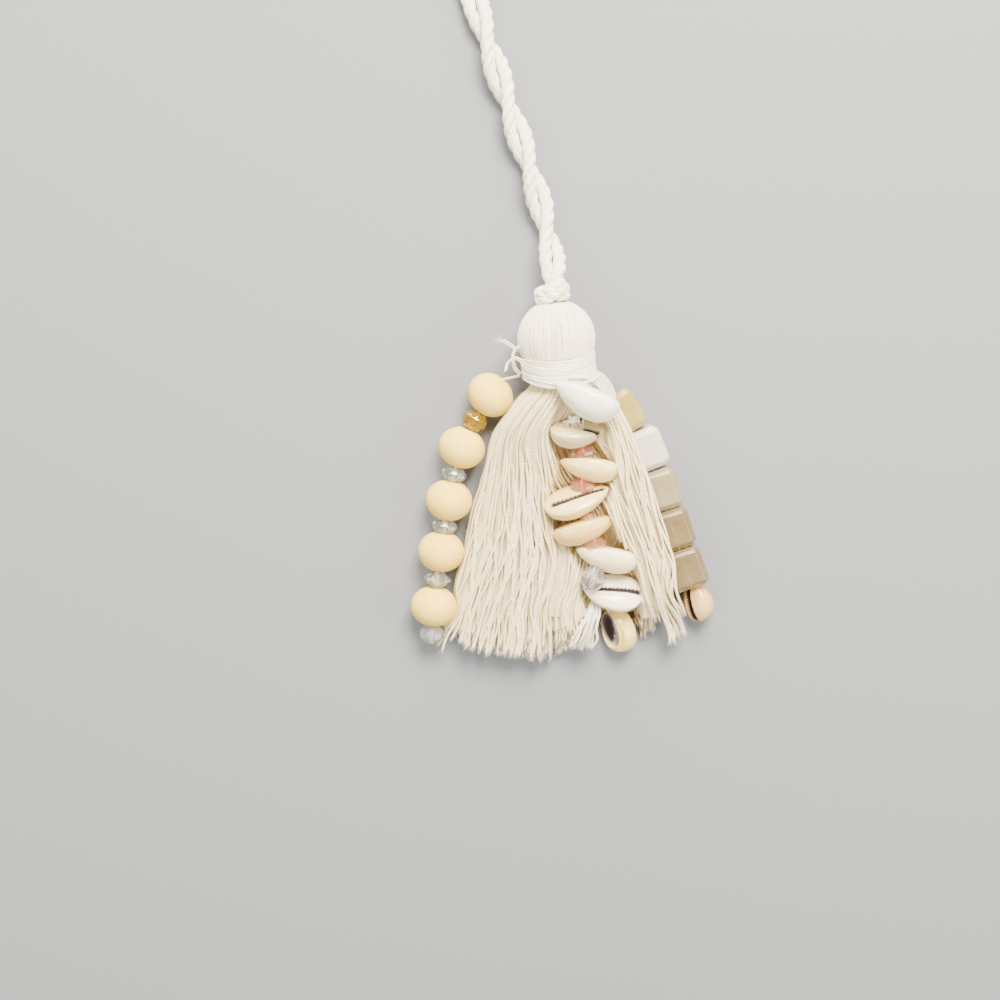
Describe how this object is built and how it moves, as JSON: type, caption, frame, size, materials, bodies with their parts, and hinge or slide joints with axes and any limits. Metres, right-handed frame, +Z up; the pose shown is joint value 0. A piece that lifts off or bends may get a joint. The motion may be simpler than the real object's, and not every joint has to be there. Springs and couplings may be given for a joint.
{
  "type": "beaded tassel",
  "caption": "Cream cotton hanging tassel with a round head, a twisted cord loop, a loose yarn skirt and strings of wooden, glass and cowrie shell beads, lying flat.",
  "frame": {"origin": "the middle of the tassel's footprint without its hanging cord, on the surface it lies on", "axes": "+Y from the skirt's hem to the head and the hanging cord, +Z up from the surface, +X towards the string of square glass beads"},
  "size_m": [0.0986, 0.2383, 0.0309],
  "materials": {
    "cotton_yarn": "soft cream cotton yarn",
    "cord_cotton": "white twisted cotton cord and thread",
    "pale_wood": "pale unfinished wood",
    "clear_glass": "clear faceted glass",
    "amber_glass": "amber faceted glass",
    "pink_glass": "pink faceted glass",
    "champagne_glass": "milky champagne glass with bevelled edges",
    "cowrie_shell": "glossy cream shell"
  },
  "bodies": {
    "root": {"head_and_skirt": "cotton_yarn", "hanging_cord": "cord_cotton", "cord_knot": "cord_cotton", "neck_wrap": "cord_cotton", "small_tassel": "cord_cotton", "left_thread": "cord_cotton", "middle_thread": "cord_cotton", "right_thread": "cord_cotton", "loose_loop_1": "cord_cotton", "loose_loop_2": "cord_cotton", "loose_tail": "cord_cotton", "wood_bead_1": "pale_wood", "wood_bead_2": "pale_wood", "wood_bead_3": "pale_wood", "wood_bead_4": "pale_wood", "wood_bead_5": "pale_wood", "clear_crystal_1": "clear_glass", "clear_crystal_2": "clear_glass", "bicone_crystal": "clear_glass", "end_crystal": "clear_glass", "pale_crystal": "clear_glass", "large_crystal": "clear_glass", "amber_crystal": "amber_glass", "pink_crystal_1": "pink_glass", "pink_crystal_2": "pink_glass", "peach_crystal": "pink_glass", "cube_bead_1": "champagne_glass", "cube_bead_2": "champagne_glass", "cube_bead_3": "champagne_glass", "cube_bead_4": "champagne_glass", "cube_bead_5": "champagne_glass", "cowrie_1": "cowrie_shell", "cowrie_2": "cowrie_shell", "cowrie_3": "cowrie_shell", "cowrie_4": "cowrie_shell", "cowrie_5": "cowrie_shell", "cowrie_6": "cowrie_shell", "cowrie_7": "cowrie_shell", "cowrie_cut": "cowrie_shell", "cowrie_side": "cowrie_shell"}
  },
  "joints": []
}
